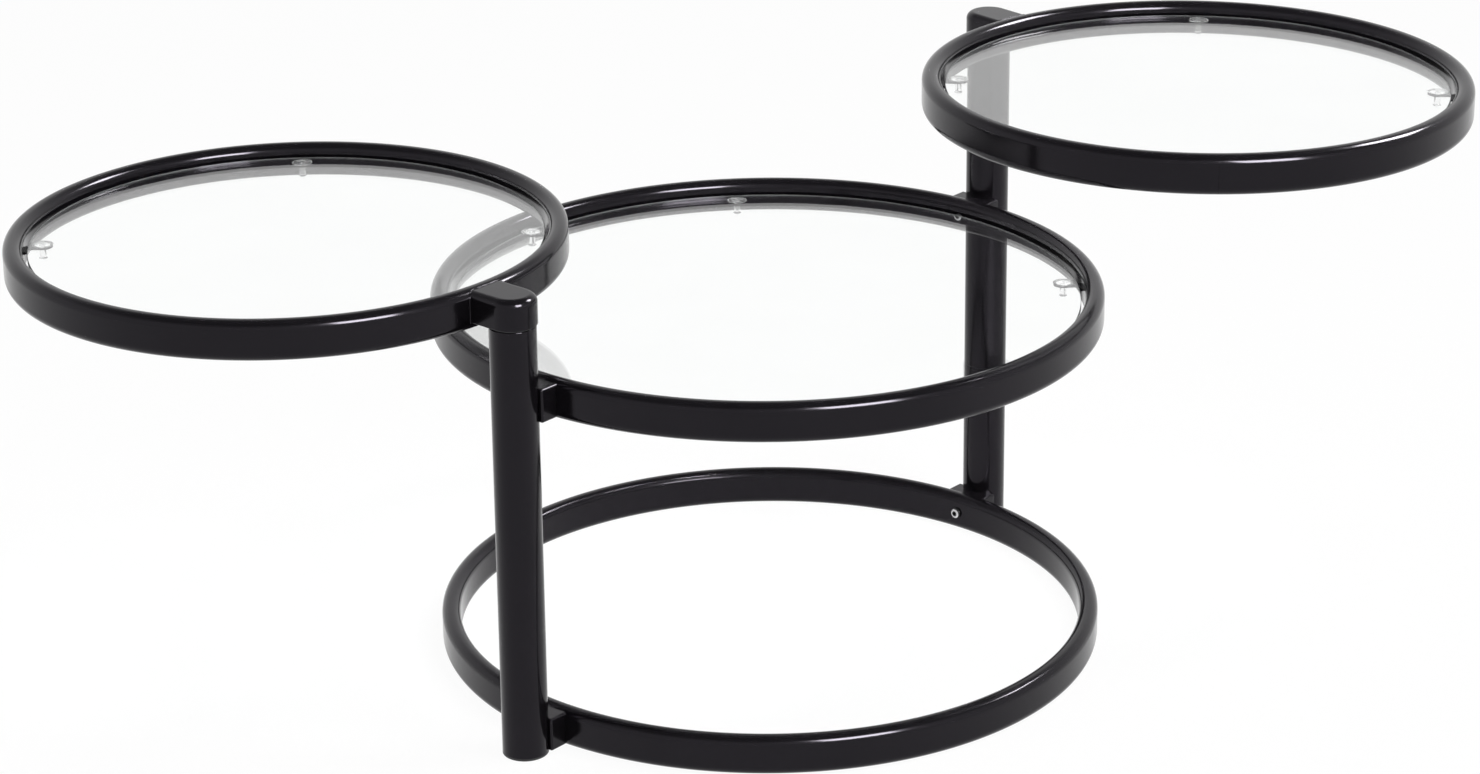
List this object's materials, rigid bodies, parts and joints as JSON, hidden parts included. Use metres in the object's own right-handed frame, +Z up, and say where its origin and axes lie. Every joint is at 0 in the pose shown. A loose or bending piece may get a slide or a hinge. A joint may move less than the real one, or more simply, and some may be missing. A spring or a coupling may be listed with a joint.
{
  "type": "swivel-top coffee table",
  "caption": "Glass coffee table: a fixed round tier between two posts over a floor ring, with a smaller round top swivelling on each post.",
  "frame": {"origin": "on the floor, below the middle of the table's outline with both tops swung out", "axes": "+X along the table's length from the lower top to the upper one, +Y away from the front post, +Z up"},
  "size_m": [1.2849, 0.6162, 0.516],
  "materials": {
    "black_paint": "satin black powder coat",
    "clear_glass": "clear, polished edges",
    "clear_soft_plastic": "clear soft plastic",
    "screw_steel": "dark plated steel",
    "bright_steel": "bright machined steel",
    "bush_plastic": "black nylon",
    "foot_plastic": "matt black moulded plastic"
  },
  "bodies": {
    "frame": {"base_ring": "black_paint", "middle_ring": "black_paint", "front_post": "black_paint", "rear_post": "black_paint", "front_foot_cap": "foot_plastic", "rear_foot_cap": "foot_plastic", "base_front_bracket": "black_paint", "base_rear_bracket": "black_paint", "middle_front_bracket": "black_paint", "middle_rear_bracket": "black_paint", "ring_screws": "screw_steel", "threaded_inserts": "bright_steel", "front_upper_bush": "bush_plastic", "front_lower_bush": "bush_plastic", "rear_upper_bush": "bush_plastic", "rear_lower_bush": "bush_plastic", "middle_glass": "clear_glass", "middle_glass_tab_1": "black_paint", "middle_glass_tab_2": "black_paint", "middle_glass_tab_3": "black_paint", "middle_glass_tab_4": "black_paint", "middle_glass_pad_1": "clear_soft_plastic", "middle_glass_pad_2": "clear_soft_plastic", "middle_glass_pad_3": "clear_soft_plastic", "middle_glass_pad_4": "clear_soft_plastic"},
    "lower_top": {"lower_swivel_ring": "black_paint", "lower_collar_cap": "black_paint", "lower_spindle": "bright_steel", "lower_circlip": "bright_steel", "lower_glass": "clear_glass", "lower_glass_tab_1": "black_paint", "lower_glass_tab_2": "black_paint", "lower_glass_tab_3": "black_paint", "lower_glass_tab_4": "black_paint", "lower_glass_pad_1": "clear_soft_plastic", "lower_glass_pad_2": "clear_soft_plastic", "lower_glass_pad_3": "clear_soft_plastic", "lower_glass_pad_4": "clear_soft_plastic"},
    "upper_top": {"upper_swivel_ring": "black_paint", "upper_collar_cap": "black_paint", "upper_spindle": "bright_steel", "upper_circlip": "bright_steel", "upper_glass": "clear_glass", "upper_glass_tab_1": "black_paint", "upper_glass_tab_2": "black_paint", "upper_glass_tab_3": "black_paint", "upper_glass_tab_4": "black_paint", "upper_glass_pad_1": "clear_soft_plastic", "upper_glass_pad_2": "clear_soft_plastic", "upper_glass_pad_3": "clear_soft_plastic", "upper_glass_pad_4": "clear_soft_plastic"}
  },
  "joints": [
    {"name": "lower_top_swivel", "type": "hinge", "parent": "frame", "child": "lower_top", "pos_m": [-0.19441, -0.24088, 0.402], "axis": [0, 0, 1], "continuous": true},
    {"name": "upper_top_swivel", "type": "hinge", "parent": "frame", "child": "upper_top", "pos_m": [0.22794, 0.25714, 0.4985], "axis": [0, 0, 1], "continuous": true}
  ]
}
